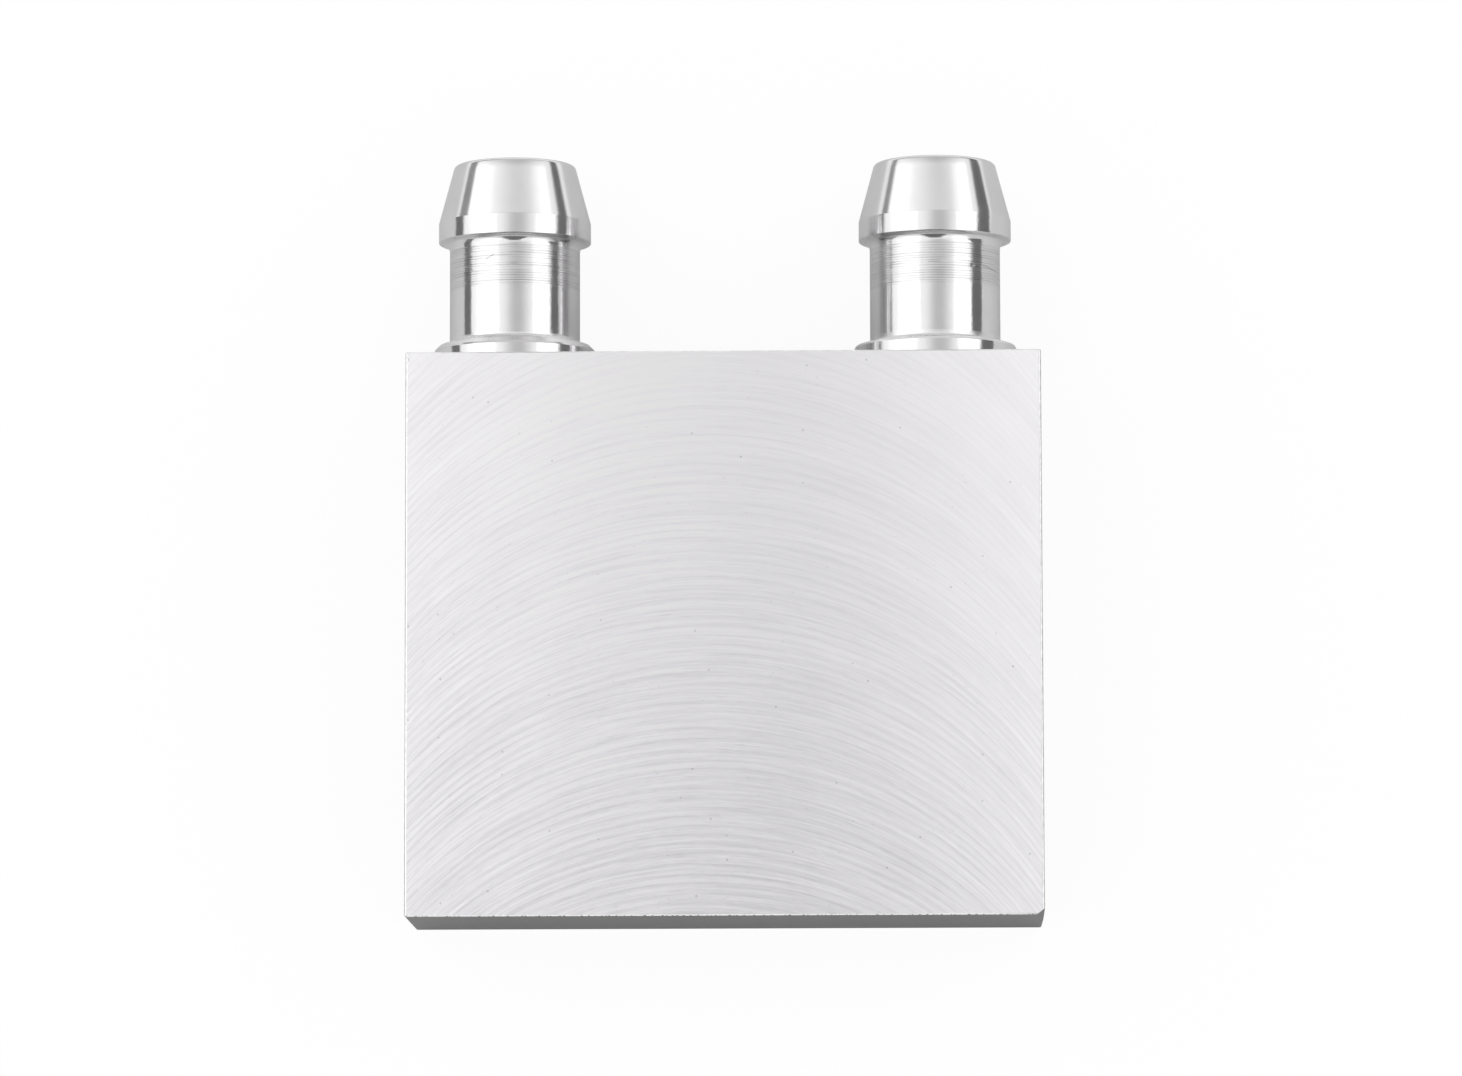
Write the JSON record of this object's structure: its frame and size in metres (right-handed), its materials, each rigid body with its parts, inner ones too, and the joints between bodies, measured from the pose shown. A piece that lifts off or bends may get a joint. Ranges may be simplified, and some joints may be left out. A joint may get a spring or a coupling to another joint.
{
  "type": "liquid cooling cold plate",
  "caption": "Flat aluminium block with an inner channel and hose barbs side by side in one end, for drawing heat from a flat chip or module into a coolant loop.",
  "frame": {"origin": "centre of the back face, the face that it rests on", "axes": "+Z is the normal of the heated face, +Y the way both hose barbs point, +X across the barbs towards the outlet"},
  "size_m": [0.04, 0.0484, 0.012],
  "materials": {
    "milled_aluminium": "bare, fly-cut on the large faces, duller on the edges",
    "turned_aluminium": "bare, lathe-turned, bright"
  },
  "bodies": {
    "root": {"lower_shell": "milled_aluminium", "upper_shell": "milled_aluminium", "inlet_barb": "turned_aluminium", "outlet_barb": "turned_aluminium"}
  },
  "joints": []
}
